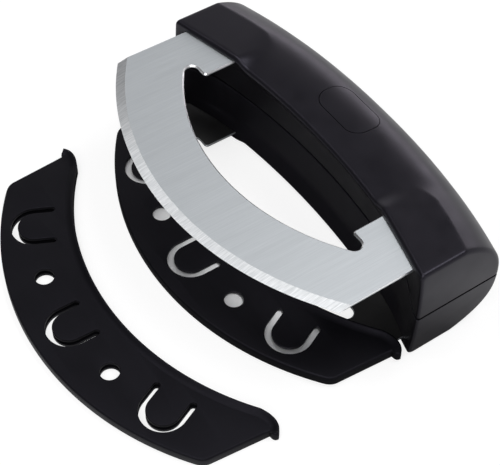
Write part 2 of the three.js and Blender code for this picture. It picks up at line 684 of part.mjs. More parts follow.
// The part's origin is the middle of its footprint, on the surface that it lies on.
const chopper = new THREE.Group();
chopper.add(tool, fittedGuard, looseGuard);
chopper.updateMatrixWorld(true);
const footprint = new THREE.Box3().setFromObject(chopper, true).getCenter(new THREE.Vector3());
chopper.position.set(-footprint.x, -footprint.y, 0);

export default chopper;
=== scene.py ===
import math

import bmesh
import bpy
from mathutils import Euler, Matrix, Vector
from mathutils.geometry import tessellate_polygon


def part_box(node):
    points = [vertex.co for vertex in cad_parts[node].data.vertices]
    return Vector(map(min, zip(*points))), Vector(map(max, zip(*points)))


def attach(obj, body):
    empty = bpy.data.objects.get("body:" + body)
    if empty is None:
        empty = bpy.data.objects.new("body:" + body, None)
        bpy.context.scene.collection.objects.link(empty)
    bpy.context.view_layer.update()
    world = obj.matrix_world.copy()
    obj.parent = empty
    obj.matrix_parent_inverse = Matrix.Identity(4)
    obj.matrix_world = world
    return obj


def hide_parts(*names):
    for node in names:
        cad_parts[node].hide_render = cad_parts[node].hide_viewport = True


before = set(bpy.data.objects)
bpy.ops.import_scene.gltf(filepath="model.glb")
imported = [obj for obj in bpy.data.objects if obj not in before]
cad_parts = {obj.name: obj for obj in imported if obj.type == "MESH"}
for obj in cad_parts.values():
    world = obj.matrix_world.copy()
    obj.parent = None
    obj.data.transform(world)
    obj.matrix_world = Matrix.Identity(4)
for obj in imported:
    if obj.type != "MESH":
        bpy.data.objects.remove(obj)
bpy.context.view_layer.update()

# Sizes of the part in millimetres and degrees, as in its source
BLADE_LENGTH = 162
BLADE_THICKNESS = 1.4
BLADE_SPACING = 45.2
BLADE_DEPTH = 28.5
EDGE_RADIUS = 134
INNER_RADIUS = 100.3
BEVEL_WIDTH = 4
EDGE_LAND = 0.3
TANG_WIDTH = 28.2
TANG_LENGTH = 20.5
TANG_CORNER = 1.6
NOTCH_RADIUS = 3.3
NOTCH_REACH = 8.5

FINGER_GAP = 50.2
GRIP_HEIGHT = 36.5
HANDLE_OVERHANG = 8
BACK_DROP = 12
BACK_POWER = 2.14
SHOULDER_MIDDLE = 16.8
SHOULDER_END = 4.6
SHOULDER_POWER = 2.3
CROWN_POWER = 2.25
GRIP_ROLL = 5.5
FOOT_CROWN_POWER = 2.6
WAIST_INSET = 0.4
FOOT_SWELL = 4
SWELL_LENGTH = 16
LIP_INSET = 2
LIP_DROP = 5.3
LIP_ROUND = 2
FOOT_DROP = 9.2
FOOT_SLOPE = 0.241
FOOT_BLEND = 8
VALLEY_WIDTH = 31.6
VALLEY_DEPTH = 1.6
VALLEY_ARCH = 4.5
VALLEY_END = 22
END_BOW = 1.5
END_ROUND = 1.6
PAD_COVER = 2.7

HEAD_DIAMETER = 5.6
HEAD_HEIGHT = 2.4
HEAD_RECESS = 5
FOOT_BOSS_HEIGHT = 1.5
GRIP_BOSS_HEIGHT = 14
GRIP_BOSS_SPACING = 56
FIT_GAP = 0.3

FIELD_LENGTH = 29.4
FIELD_HEIGHT = 17.1
FIELD_CORNER = 7
FIELD_CENTRE_HEIGHT = 14

GUARD_WALL = 1.4
GUARD_RIM = 4.1
GUARD_RADIUS = 131
GUARD_MOUTH_RADIUS = 123
GUARD_MOUTH_RISE = 2.2
GUARD_END_WALL = 2.2
GUARD_END_FLARE = 2.4
GUARD_PLAY = 1
GUARD_CORNER = 2.8
GUARD_EDGE_ROUND = 1
MOUTH_LIP_WIDTH = 3.8
MOUTH_LIP_RISE = 1.3
MOUTH_LIP_EAR = 2.9
EAR_DEPTH = 2.3
EAR_START = 7.6
EAR_TURN = 4.35
EAR_CREST = 4.4
PATTERN_RADIUS = 131
PATTERN_STEP = 12.45
PATTERN_HEIGHT = 64.8
TONGUE_RADIUS = 8.75
TONGUE_LEG = 7.6
TONGUE_SLOT = 2.9
HOLE_DIAMETER = 8.3

LOOSE_OFFSET_X = 2.3
LOOSE_OFFSET_Y = 60.1
LOOSE_TURN = 1.4

HALF_LENGTH = BLADE_LENGTH / 2 + HANDLE_OVERHANG
FOOT_INNER = BLADE_LENGTH / 2 - TANG_WIDTH
FOOT_MIDDLE = BLADE_LENGTH / 2 - TANG_WIDTH / 2
GUARD_THICKNESS = BLADE_THICKNESS + 2 * FIT_GAP + 2 * GUARD_WALL
PAD_HALF = BLADE_SPACING / 2 + BLADE_THICKNESS / 2 + PAD_COVER
INNER_CENTRE = INNER_RADIUS - FINGER_GAP
EDGE_LOW = -FINGER_GAP - BLADE_DEPTH
EDGE_CENTRE = EDGE_LOW + EDGE_RADIUS
GUARD_CENTRE = EDGE_LOW - GUARD_RIM + GUARD_RADIUS
MOUTH_CENTRE = GUARD_MOUTH_RISE - FINGER_GAP + GUARD_MOUTH_RADIUS

# Sizes in millimetres that are the scene's own. The seam is drawn as wide as the photo shows it, which is
# wider than the source's gap.
SEAM_GAP = 1.2
SEAM_EDGE = 0.2
BROKEN_EDGE = 0.6
GUARD_FACE_ROUND = 0.5
HOLE_FACE_ROUND = 0.25
HOLE_EDGE_ROUND = 0.35

# How deep the field's column reaches below the crown, and how far cutters reach past what they cut
FIELD_REACH = 9
CUTTER_PAST = 2
SLOT_PAST = 1

# The lip along a guard's mouth, in millimetres: how deep it is sunk into the plate on its inner side and at
# its rim, and how far below the plate's face its hollow curve starts. Then the power of that curve, the
# share of the lip's width where it ends, and the points of the rim, each a share of the width and a height
# over the lip's top.
MOUTH_LIP_ROOT = 0.5
MOUTH_LIP_FOOT = 1.2
MOUTH_LIP_SKIN = 0.01
MOUTH_LIP_HOLLOW = 1.8
MOUTH_LIP_CURVE_END = 0.24
MOUTH_LIP_RIM = ((0.17, 0.02), (0.1, -0.04), (0.04, -0.2), (0.02, -0.45))

# Steps of the blades' edges, of the handle along its length and at its ends, and of its section's stretches
EDGE_STEPS = 140
LENGTH_STEPS = 150
CAP_STEPS = 8
VALLEY_STEPS = 8
FOLD_STEPS = 6
LIP_STEPS = 6
SIDE_STEPS = 18
CROWN_STEPS = 44
CAP_SCALES = (0.02, 0.25, 0.5, 0.75, 0.92)

# Angles in degrees over which an edge is drawn sharp
HANDLE_SHARP = 32
BLADE_SHARP = 8
GUARD_SHARP = 35

# Millimetres in a metre, and how near to each other, in metres, two points become one
METRE = 1000
MERGE_DISTANCE = 1e-7

# Where the source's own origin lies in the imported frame
blade_low, blade_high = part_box("front_blade")
ORIGIN_X = METRE * (blade_low.x + blade_high.x) / 2
ORIGIN_Y = METRE * blade_low.y - EDGE_LOW


def framed(point):
    """A point in the source's millimetres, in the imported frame's metres."""
    return ((point[0] + ORIGIN_X) / METRE, (point[1] + ORIGIN_Y) / METRE, point[2] / METRE)


def mesh_object(name, points, faces):
    """An object in the scene, from points in the source's millimetres."""
    mesh = bpy.data.meshes.new(name)
    mesh.from_pydata([framed(p) for p in points], [], faces)
    bm = bmesh.new()
    bm.from_mesh(mesh)
    bmesh.ops.remove_doubles(bm, verts=bm.verts, dist=MERGE_DISTANCE)
    bmesh.ops.recalc_face_normals(bm, faces=bm.faces)
    bm.to_mesh(mesh)
    bm.free()
    obj = bpy.data.objects.new(name, mesh)
    bpy.context.scene.collection.objects.link(obj)
    return obj


def carve(obj, cutter, operation):
    """Cuts obj with a cutter, or keeps what both share, and removes the cutter."""
    modifier = obj.modifiers.new("carve", "BOOLEAN")
    modifier.object = cutter
    modifier.operation = operation
    modifier.solver = "EXACT"
    graph = bpy.context.evaluated_depsgraph_get()
    result = bpy.data.meshes.new_from_object(obj.evaluated_get(graph))
    obj.modifiers.remove(modifier)
    old = obj.data
    obj.data = result
    bpy.data.meshes.remove(old)
    bpy.data.objects.remove(cutter)


def finish_piece(obj, body, node, coats, sharp):
    """Smooths a piece, gives it its materials and lets it stand for a node."""
    obj.data.shade_smooth()
    obj.data.set_sharp_from_angle(angle=math.radians(sharp))
    for coat in coats:
        obj.data.materials.append(coat)
    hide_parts(node)
    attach(obj, body)


def smooth(value, low, high):
    """Share that rises from 0 at low to 1 at high, level at both ends."""
    t = min(max((value - low) / (high - low), 0), 1)
    return t * t * (3 - 2 * t)


def lerp(a, b, t):
    return a + (b - a) * t


def between(a, b, t):
    """Point at a share of the way from a to b."""
    return tuple(lerp(p, q, t) for p, q in zip(a, b))


def arc(x, y, radius, start, end, steps):
    """Points of an arc about x and y, between two angles in degrees."""
    angles = [math.radians(lerp(start, end, i / steps)) for i in range(steps + 1)]
    return [(x + radius * math.cos(a), y + radius * math.sin(a)) for a in angles]


def arc_height(centre, radius, x):
    return centre - math.sqrt(radius * radius - x * x)


def bowl(centre, radius, half, steps):
    """Lower arc of a circle whose centre lies at x = 0, from -half to half."""
    xs = [lerp(-half, half, i / steps) for i in range(steps + 1)]
    return [(x, arc_height(centre, radius, x)) for x in xs]


def mirror_x(points):
    return [(-x, y) for x, y in reversed(points)]


def bezier(a, b, c, steps):
    """Points after a on the curve from a to c that b draws towards itself."""
    shares = [i / steps for i in range(1, steps + 1)]
    return [between(between(a, b, t), between(b, c, t), t) for t in shares]


def inset(outline, distance):
    """Moves a closed anticlockwise outline inwards along the average of its edges' normals."""
    moved = []
    for i, point in enumerate(outline):
        before = Vector(outline[i - 1])
        after = Vector(outline[(i + 1) % len(outline)])
        here = Vector(point)
        along = ((here - before).normalized() + (after - here).normalized()).normalized()
        moved.append((here.x - along.y * distance, here.y + along.x * distance))
    return moved


def bridge(faces, start, rings, count):
    """Joins rings of as many points each, numbered from a start, one to the next by quads."""
    for ring in range(rings - 1):
        low = start + ring * count
        high = low + count
        for i in range(count):
            j = (i + 1) % count
            faces.append((low + i, low + j, high + j, high + i))


def fill(points, faces, loops):
    """Fills the first loop of point numbers, leaving the others as holes."""
    flat = [[Vector((points[i][0], points[i][1], 0)) for i in loop] for loop in loops]
    numbers = [i for loop in loops for i in loop]
    for triangle in tessellate_polygon(flat):
        faces.append(tuple(numbers[i] for i in triangle))


def tube(rings):
    """Points and faces of a closed solid through rings of as many points each."""
    count = len(rings[0])
    faces = []
    bridge(faces, 0, len(rings), count)
    faces.append(tuple(range(count)))
    last = (len(rings) - 1) * count
    faces.append(tuple(range(last, last + count)))
    return [point for ring in rings for point in ring], faces


def stack(outlines):
    """Points and faces of a closed solid through flat outlines of equal length, each with its height."""
    points = []
    faces = []
    count = len(outlines[0][0])
    for outline, z in outlines:
        points.extend((x, y, z) for x, y in outline)
    bridge(faces, 0, len(outlines), count)
    fill(points, faces, [list(range(count))])
    last = (len(outlines) - 1) * count
    fill(points, faces, [list(range(last, last + count))])
    return points, faces


def prism(name, outline, low, high):
    return mesh_object(name, *stack([(outline, low), (outline, high)]))


def blade_middle(up):
    """Height of the middle of the upper blade or the lower one."""
    return PAD_HALF + (BLADE_SPACING / 2 if up else -BLADE_SPACING / 2)


# Handle


def lip_height(x):
    """Height of the lip that faces the fingers, lower on the feet."""
    reach = abs(x)
    if reach > FOOT_INNER:
        return -FOOT_DROP - FOOT_SLOPE * (reach - FOOT_INNER)
    return -LIP_DROP - (FOOT_DROP - LIP_DROP) * (reach / FOOT_INNER) ** 2


def valley_height(x):
    """Height of the hollow between the lips, which runs out at the handle's ends."""
    reach = abs(x)
    closing = smooth(reach, HALF_LENGTH - VALLEY_END, HALF_LENGTH)
    return lerp(-VALLEY_ARCH * (reach / FOOT_INNER) ** 2, lip_height(x), closing)


def crown_rise(width_share, power):
    """Height of the crown's flattened ellipse where it has this share of its half width."""
    return (1 - min(width_share, 1) ** power) ** (1 / power)


def handle_section(x, shrink):
    """Closed outline of one shell at x, in y and in the distance from the middle plane."""
    share = min(abs(x) / HALF_LENGTH, 1)
    back = GRIP_HEIGHT - BACK_DROP * share ** BACK_POWER
    shoulder = SHOULDER_MIDDLE - (SHOULDER_MIDDLE - SHOULDER_END) * share ** SHOULDER_POWER
    swell = smooth(abs(x), FOOT_INNER - SWELL_LENGTH / 2, FOOT_INNER + SWELL_LENGTH / 2)
    widen = smooth(abs(x), FOOT_INNER - FOOT_BLEND, FOOT_INNER)
    lip_half = PAD_HALF - LIP_INSET * (1 - widen) - shrink
    lip = lip_height(x) + shrink
    valley = valley_height(x) + shrink
    closing = smooth(abs(x), HALF_LENGTH - VALLEY_END, HALF_LENGTH)
    crease = max(valley - VALLEY_DEPTH * (1 - closing), lip)
    seam = SEAM_GAP / 2

    def crown_point(half, power, start, t):
        """Point on a crown of this half width, cut off at the pad, from its start (t = 0) to the back."""
        rise = (back - start) / (1 - crown_rise(PAD_HALF / half, power)) - shrink
        side = half - shrink
        cut = math.asin(min(1, ((PAD_HALF - shrink) / side) ** (power / 2)))
        angle = cut * (1 - t)
        return (
            back - shrink - rise * (1 - math.cos(angle) ** (2 / power)),
            side * math.sin(angle) ** (2 / power),
        )

    def blended_crown(t):
        """Point on the grip's crown, on the foot's, or between them where the handle swells."""
        grip = crown_point(PAD_HALF - WAIST_INSET, CROWN_POWER, shoulder - GRIP_ROLL, t)
        foot = crown_point(PAD_HALF + FOOT_SWELL, FOOT_CROWN_POWER, shoulder, t)
        return between(grip, foot, swell)

    points = [(valley + SEAM_EDGE, seam)]
    start = (valley, seam + SEAM_EDGE)
    fold = (crease, VALLEY_WIDTH / 2)
    corner = (lip, lip_half - LIP_ROUND)
    points += [between(start, fold, i / VALLEY_STEPS) for i in range(VALLEY_STEPS)]
    points += [between(fold, corner, i / FOLD_STEPS) for i in range(FOLD_STEPS)]
    for i in range(LIP_STEPS + 1):
        turn = math.radians(90 * i / LIP_STEPS)
        points.append((
            lip + LIP_ROUND * (1 - math.cos(turn)),
            lip_half - LIP_ROUND * (1 - math.sin(turn)),
        ))
    edge = blended_crown(0)
    for i in range(1, SIDE_STEPS + 1):
        t = i / SIDE_STEPS
        points.append((lerp(lip + LIP_ROUND, edge[0], t), lerp(lip_half, edge[1], 1 - (1 - t) ** 2)))
    for i in range(1, CROWN_STEPS):
        y, z = blended_crown(i / CROWN_STEPS)
        points.append((y, max(z, seam + SEAM_EDGE)))
    points.append((back - shrink, seam + SEAM_EDGE))
    points.append((back - shrink - SEAM_EDGE, seam))
    return points


def handle_half(name, up):
    """One shell as a closed solid, above the middle plane or below it."""
    rings = []

    def add_ring(x, section):
        """Adds a section at x, bowed inwards away from the seam towards the handle's ends."""
        bow = END_BOW * smooth(abs(x), HALF_LENGTH - VALLEY_END, HALF_LENGTH)
        ring = []
        for y, z in section:
            along = math.copysign(abs(x) - bow * (z / PAD_HALF) ** 2, x)
            ring.append((along, y, PAD_HALF + (z if up else -z)))
        rings.append(ring)

    straight = HALF_LENGTH - END_ROUND
    caps = []
    for i in range(1, CAP_STEPS + 1):
        turn = math.radians(90 * i / CAP_STEPS)
        caps.append((straight + END_ROUND * math.sin(turn), END_ROUND * (1 - math.cos(turn))))
    end = handle_section(HALF_LENGTH, END_ROUND)
    end_middle = (sum(y for y, z in end) / len(end), PAD_HALF / 3)

    def end_section(scale):
        """The end's outline, drawn in towards a point a third of the way out from the seam."""
        return [between(end_middle, point, scale) for point in end]

    for scale in CAP_SCALES:
        add_ring(-HALF_LENGTH, end_section(scale))
    for x, shrink in reversed(caps):
        add_ring(-x, handle_section(-x, shrink))
    for i in range(LENGTH_STEPS + 1):
        x = lerp(-straight, straight, i / LENGTH_STEPS)
        add_ring(x, handle_section(x, 0))
    for x, shrink in caps:
        add_ring(x, handle_section(x, shrink))
    for scale in reversed(CAP_SCALES):
        add_ring(HALF_LENGTH, end_section(scale))
    return mesh_object(name, *tube(rings))


def tang_slot(side, up):
    """Cutter for the slot that holds one tang."""
    inner = FOOT_INNER - FIT_GAP
    outer = BLADE_LENGTH / 2 + FIT_GAP
    outline = [
        (side * inner, lip_height(outer) - SLOT_PAST),
        (side * outer, lip_height(outer) - SLOT_PAST),
        (side * outer, lip_height(outer) + TANG_LENGTH + FIT_GAP),
        (side * inner, lip_height(inner) + TANG_LENGTH + 2 * FIT_GAP),
    ]
    half = BLADE_THICKNESS / 2 + FIT_GAP
    return prism("tang_slot", outline, blade_middle(up) - half, blade_middle(up) + half)


def field_column(name, grow):
    """Column through the crown with the outline of the bare field, made larger all round."""
    across = FIELD_LENGTH / 2 - FIELD_CORNER
    high = FIELD_HEIGHT / 2 - FIELD_CORNER
    corners = ((across, -high), (across, high), (-across, high), (-across, -high))
    outline = []
    for i, (x, y) in enumerate(corners):
        start = 90 * (i - 1)
        outline += arc(x, FIELD_CENTRE_HEIGHT + y, FIELD_CORNER + grow, start, start + 90, steps=14)
    return prism(name, outline, 2 * PAD_HALF - FIELD_REACH, 2 * PAD_HALF + CUTTER_PAST)


def screw_recess(x, y):
    """Counterbore of one screw, from the outer face of the back shell up to the screw's head seat."""
    radius = HEAD_DIAMETER / 2 + FIT_GAP
    seat = HEAD_RECESS + HEAD_HEIGHT + FIT_GAP
    wide = arc(x, y, radius, 0, 360, steps=40)[:-1]
    return prism("screw_recess", wide, -CUTTER_PAST, seat)


# Blades

# The order of a blade's materials
OUTER_FACE, BEVEL, INNER_FACE, BROKEN = range(4)

# A blade's faces are told apart by the upright share of their normals: flat faces have more than LEVEL,
# walls less than WALL, and broken edges lie between two shares. The bevel also lies near the edge's arc,
# within a slack in millimetres.
LEVEL = 0.99
WALL = 0.05
BROKEN_LEAST = 0.3
BROKEN_MOST = 0.95
ARC_SLACK = 0.05


def blade_outline(edge_radius):
    """Outline of a blade with its tangs and notches, from the left end of its edge."""
    end = BLADE_LENGTH / 2
    notch_x = FOOT_INNER + NOTCH_REACH - NOTCH_RADIUS
    notch_y = arc_height(INNER_CENTRE, INNER_RADIUS - NOTCH_RADIUS, notch_x)
    meet = math.degrees(math.atan2(notch_y - INNER_CENTRE, notch_x))
    meet_x = INNER_RADIUS * math.cos(math.radians(meet))
    corner_x = FOOT_INNER + TANG_CORNER
    corner_y = notch_y + NOTCH_RADIUS + TANG_CORNER
    tang = [(end, lip_height(end) + TANG_LENGTH), (FOOT_INNER, lip_height(FOOT_INNER) + TANG_LENGTH)]
    tang += arc(corner_x, corner_y, TANG_CORNER, 180, 270, steps=12)
    tang += arc(notch_x, notch_y, NOTCH_RADIUS, 90, meet, steps=30)
    inner = bowl(INNER_CENTRE, INNER_RADIUS, meet_x, steps=110)[1:-1]
    return bowl(EDGE_CENTRE, edge_radius, end, EDGE_STEPS) + tang + inner[::-1] + mirror_x(tang)


def blade_material(face, outward):
    """Number of the material that a face of a blade takes."""
    upright = face.normal.z * outward
    centre = framed((0, EDGE_CENTRE, 0))
    radius = math.hypot(face.center.x - centre[0], face.center.y - centre[1]) * METRE
    near_edge = EDGE_RADIUS - BEVEL_WIDTH - ARC_SLACK < radius < EDGE_RADIUS + ARC_SLACK
    if near_edge and WALL < abs(upright) < LEVEL:
        return BEVEL
    if upright < -LEVEL:
        return INNER_FACE
    if BROKEN_LEAST < upright < BROKEN_MOST:
        return BROKEN
    return OUTER_FACE


def blade(name, up):
    """Blade with its ground bevel and broken edges on the outer face."""
    half = BLADE_THICKNESS / 2
    outward = 1 if up else -1
    outer = blade_outline(EDGE_RADIUS)
    ground = blade_outline(EDGE_RADIUS - BEVEL_WIDTH)
    share = 1 - BROKEN_EDGE / (BLADE_THICKNESS - EDGE_LAND)
    nearly = [between(a, b, share) for a, b in zip(outer, ground)]
    bevel_count = EDGE_STEPS + 1
    levels = [
        (inset(outer, EDGE_LAND), -half),
        (outer, -half + EDGE_LAND),
        (nearly, half - BROKEN_EDGE),
        (ground[:bevel_count] + inset(ground, BROKEN_EDGE)[bevel_count:], half),
    ]
    points, faces = stack(levels)
    obj = mesh_object(name, [(x, y, blade_middle(up) + outward * z) for x, y, z in points], faces)
    for face in obj.data.polygons:
        face.material_index = blade_material(face, outward)
    return obj


# Guards


def mouth_line():
    """The guard's open side, an arc that turns up into an ear at each end."""
    reach = BLADE_LENGTH / 2 + GUARD_END_WALL - EAR_START
    line = bowl(MOUTH_CENTRE, GUARD_MOUTH_RADIUS, reach, steps=90)
    start = line[-1]
    ear_x = BLADE_LENGTH / 2 + GUARD_END_WALL + GUARD_END_FLARE + MOUTH_LIP_EAR
    bend = (ear_x - EAR_TURN, start[1] + EAR_CREST)
    turn = bezier(start, bend, (ear_x, start[1]), steps=20)
    return mirror_x(turn) + line + turn


def guard_outline():
    """Outline of a guard: its lower edge, its ends with their ears, and its mouth."""
    tip = BLADE_LENGTH / 2 + GUARD_END_WALL
    edge = bowl(GUARD_CENTRE, GUARD_RADIUS, tip - GUARD_CORNER, steps=110)
    corner = Vector((tip, arc_height(GUARD_CENTRE, GUARD_RADIUS, tip)))
    mouth = mouth_line()
    ear = mouth[-1]
    end_top = Vector((tip + GUARD_END_FLARE, ear[1] - EAR_DEPTH))
    corner_end = corner + (end_top - corner).normalized() * GUARD_CORNER
    root = tuple(end_top)
    end = bezier(edge[-1], tuple(corner), tuple(corner_end), steps=12)
    wall_steps = 8
    end += [between(corner_end, end_top, i / wall_steps) for i in range(1, wall_steps)]
    end.append(root)
    end += bezier(root, (ear[0], root[1]), ear, steps=10)[:-1]
    return edge + end + mouth[::-1] + mirror_x(end)


def tongue_slot():
    """U-shaped slot that leaves a spring tongue."""
    outer = TONGUE_RADIUS + TONGUE_SLOT / 2
    inner = TONGUE_RADIUS - TONGUE_SLOT / 2
    return (
        arc(-TONGUE_RADIUS, TONGUE_LEG, TONGUE_SLOT / 2, 0, 180, steps=10)
        + arc(0, 0, outer, 180, 360, steps=40)
        + arc(TONGUE_RADIUS, TONGUE_LEG, TONGUE_SLOT / 2, 0, 180, steps=10)
        + arc(0, 0, inner, 360, 180, steps=36)
    )


def in_row(outline, step):
    """A hole's outline, so many steps along the guard's row of holes."""
    angle = math.radians(PATTERN_STEP * step)
    cos, sin = math.cos(angle), math.sin(angle)
    return [
        (
            PATTERN_RADIUS * sin + x * cos - y * sin,
            PATTERN_HEIGHT - PATTERN_RADIUS * cos + x * sin + y * cos,
        )
        for x, y in outline
    ]


def guard_holes():
    """Outlines of three tongue slots with a round hole between each two."""
    round_hole = arc(0, 0, HOLE_DIAMETER / 2, 0, 360, steps=40)[:-1]
    slots = [in_row(tongue_slot(), step) for step in (-2, 0, 2)]
    return slots + [in_row(round_hole, step) for step in (-1, 1)]


def rounded_levels(outline, sign, low_round, high_round, thickness):
    """The outline at rising heights, drawn in at its lower and upper edges."""
    low_steps = 3
    high_steps = 5
    levels = []
    for i in range(low_steps + 1):
        turn = math.radians(90 * i / low_steps)
        drawn_in = inset(outline, sign * low_round * (1 - math.sin(turn)))
        levels.append((drawn_in, low_round * (1 - math.cos(turn))))
    for i in range(high_steps + 1):
        turn = math.radians(90 * i / high_steps)
        drawn_in = inset(outline, sign * high_round * (1 - math.cos(turn)))
        levels.append((drawn_in, thickness - high_round * (1 - math.sin(turn))))
    return levels


def guard_points():
    """Points and faces of a guard's plate, with its flat face at z = 0 and its holes through it."""
    points = []
    faces = []
    lowest = []
    highest = []
    loops = [(guard_outline(), 1, GUARD_FACE_ROUND, GUARD_EDGE_ROUND)]
    loops += [(hole, -1, HOLE_FACE_ROUND, HOLE_EDGE_ROUND) for hole in guard_holes()]
    for outline, sign, low_round, high_round in loops:
        levels = rounded_levels(outline, sign, low_round, high_round, GUARD_THICKNESS)
        count = len(outline)
        start = len(points)
        for level, z in levels:
            points.extend((x, y, z) for x, y in level)
        bridge(faces, start, len(levels), count)
        lowest.append(list(range(start, start + count)))
        last = start + (len(levels) - 1) * count
        highest.append(list(range(last, last + count)))
    fill(points, faces, lowest)
    fill(points, faces, highest)
    return points, faces


def lip_profile():
    """Section of the lip, in distance from the mouth and in height: a hollow curve up to a rounded rim."""
    steps = 8
    top = GUARD_THICKNESS + MOUTH_LIP_RISE
    profile = [(1, GUARD_THICKNESS - MOUTH_LIP_ROOT), (1, GUARD_THICKNESS - MOUTH_LIP_SKIN)]
    for i in range(1, steps + 1):
        t = i / steps
        profile.append((lerp(1, MOUTH_LIP_CURVE_END, t), lerp(GUARD_THICKNESS, top, t ** MOUTH_LIP_HOLLOW)))
    profile += [(share, top + rise) for share, rise in MOUTH_LIP_RIM]
    profile.append((profile[-1][0], GUARD_THICKNESS - MOUTH_LIP_FOOT))
    return [(MOUTH_LIP_WIDTH * share, z) for share, z in profile]


def lip_points():
    """Points and faces of the flared lip along the mouth."""
    mouth = mouth_line()
    profile = lip_profile()
    rings = []
    for i, point in enumerate(mouth):
        before = Vector(mouth[max(i - 1, 0)])
        after = Vector(mouth[min(i + 1, len(mouth) - 1)])
        along = (after - before).normalized()
        rings.append([
            (point[0] + along.y * distance, point[1] - along.x * distance, z)
            for distance, z in profile
        ])
    return tube(rings)


def guard(name, turn, shift):
    """A guard with its pocket and its lip, turned about the source's origin and moved."""
    cos, sin = math.cos(turn), math.sin(turn)

    def put(points):
        return [
            (x * cos - y * sin + shift[0], x * sin + y * cos + shift[1], z + shift[2])
            for x, y, z in points
        ]

    plate_points, plate_faces = guard_points()
    obj = mesh_object(name, put(plate_points), plate_faces)
    half = BLADE_THICKNESS / 2 + FIT_GAP
    end = BLADE_LENGTH / 2 + GUARD_PLAY
    pocket = bowl(EDGE_CENTRE - GUARD_PLAY, EDGE_RADIUS, end, steps=80) + [(end, 0), (-end, 0)]
    middle = GUARD_THICKNESS / 2
    pocket_points, pocket_faces = stack([(pocket, middle - half), (pocket, middle + half)])
    carve(obj, mesh_object("pocket", put(pocket_points), pocket_faces), "DIFFERENCE")
    lip_vertices, lip_faces = lip_points()
    lip = mesh_object("lip", put(lip_vertices), lip_faces)
    joined = bmesh.new()
    joined.from_mesh(obj.data)
    joined.from_mesh(lip.data)
    joined.to_mesh(obj.data)
    joined.free()
    bpy.data.objects.remove(lip)
    return obj


# Materials

# Cells to the metre in the plastics' mottling, handling marks, flow and grain
MOTTLE_CELLS = 38
MARK_CELLS = 95
FLOW_CELLS = 160
GRAIN_CELLS = 2600

# Depths of the bumps in metres, and how strongly the flow shows
FLOW_DEPTH = 0.0002
FLOW_STRENGTH = 0.08
GRAIN_DEPTH = 0.00006
STROKE_DEPTH = 0.00004

# The tint of the plastics' shine, and how far the steels' shine is drawn out
SHINE_TINT = (0.83, 0.79, 1, 1)
BRUSHED_SPREAD = 0.6

# Lines to the metre in the patches of a steel's gloss, as a share of its brushed lines
PATCH_SHARE = 0.35

# Heights in the source's millimetres where the painted light on the blades' inner faces ends
# and where their painted shade is full
PAINTED_LIGHT_END = -44
PAINTED_SHADE_START = -34


def material(name):
    """A new material, its node tree and its one shader."""
    made = bpy.data.materials.new(name)
    made.use_nodes = True
    nodes = made.node_tree.nodes
    nodes.clear()
    output = nodes.new("ShaderNodeOutputMaterial")
    shader = nodes.new("ShaderNodeBsdfPrincipled")
    made.node_tree.links.new(shader.outputs["BSDF"], output.inputs["Surface"])
    return made, made.node_tree, shader


def noise(tree, cells, detail):
    """Noise over the part's own metres, with so many cells to the metre along each axis."""
    place = tree.nodes.new("ShaderNodeTexCoord")
    mapping = tree.nodes.new("ShaderNodeMapping")
    mapping.inputs["Scale"].default_value = cells
    texture = tree.nodes.new("ShaderNodeTexNoise")
    texture.inputs["Scale"].default_value = 1
    texture.inputs["Detail"].default_value = detail
    tree.links.new(place.outputs["Object"], mapping.inputs["Vector"])
    tree.links.new(mapping.outputs["Vector"], texture.inputs["Vector"])
    return texture


def gradient(tree, kind, start, turn, size):
    """Gradient over an object's metres, from a start, turned about Z in degrees and drawn out to a size."""
    place = tree.nodes.new("ShaderNodeTexCoord")
    mapping = tree.nodes.new("ShaderNodeMapping")
    mapping.vector_type = "TEXTURE"
    mapping.inputs["Location"].default_value = start
    mapping.inputs["Rotation"].default_value = (0, 0, math.radians(turn))
    mapping.inputs["Scale"].default_value = size
    texture = tree.nodes.new("ShaderNodeTexGradient")
    texture.gradient_type = kind
    tree.links.new(place.outputs["Object"], mapping.inputs["Vector"])
    tree.links.new(mapping.outputs["Vector"], texture.inputs["Vector"])
    return texture


def ramp(tree, source, first, last, stops):
    """Turns a noise or a gradient into a colour or a grey between two stops."""
    node = tree.nodes.new("ShaderNodeValToRGB")
    for element, position, colour in zip(node.color_ramp.elements, stops, (first, last)):
        element.position = position
        element.color = (*colour, 1)
    tree.links.new(source.outputs["Fac"], node.inputs["Fac"])
    return node


def grey(value):
    return (value, value, value)


def bump(tree, source, strength, distance, under=None):
    """Bump from a noise, on top of another bump if one is given."""
    node = tree.nodes.new("ShaderNodeBump")
    node.inputs["Strength"].default_value = strength
    node.inputs["Distance"].default_value = distance
    tree.links.new(source.outputs["Fac"], node.inputs["Height"])
    if under:
        tree.links.new(under.outputs["Normal"], node.inputs["Normal"])
    return node


def plastic(name, dark, pale, rough, grain, shine):
    """Moulded plastic: a fine spark-eroded grain, faint mottling and handling marks in the gloss."""
    made, tree, shader = material(name)
    mottle = noise(tree, grey(MOTTLE_CELLS), detail=4)
    colour = ramp(tree, mottle, dark, pale, stops=(0.35, 0.7))
    tree.links.new(colour.outputs["Color"], shader.inputs["Base Color"])
    marks = noise(tree, grey(MARK_CELLS), detail=5)
    gloss = ramp(tree, marks, grey(rough[0]), grey(rough[1]), stops=(0.3, 0.75))
    tree.links.new(gloss.outputs["Color"], shader.inputs["Roughness"])
    flow = bump(tree, noise(tree, grey(FLOW_CELLS), detail=2), FLOW_STRENGTH, FLOW_DEPTH)
    fine = bump(tree, noise(tree, grey(GRAIN_CELLS), detail=2), grain, GRAIN_DEPTH, flow)
    tree.links.new(fine.outputs["Normal"], shader.inputs["Normal"])
    shader.inputs["Specular IOR Level"].default_value = shine
    shader.inputs["Specular Tint"].default_value = SHINE_TINT
    return made


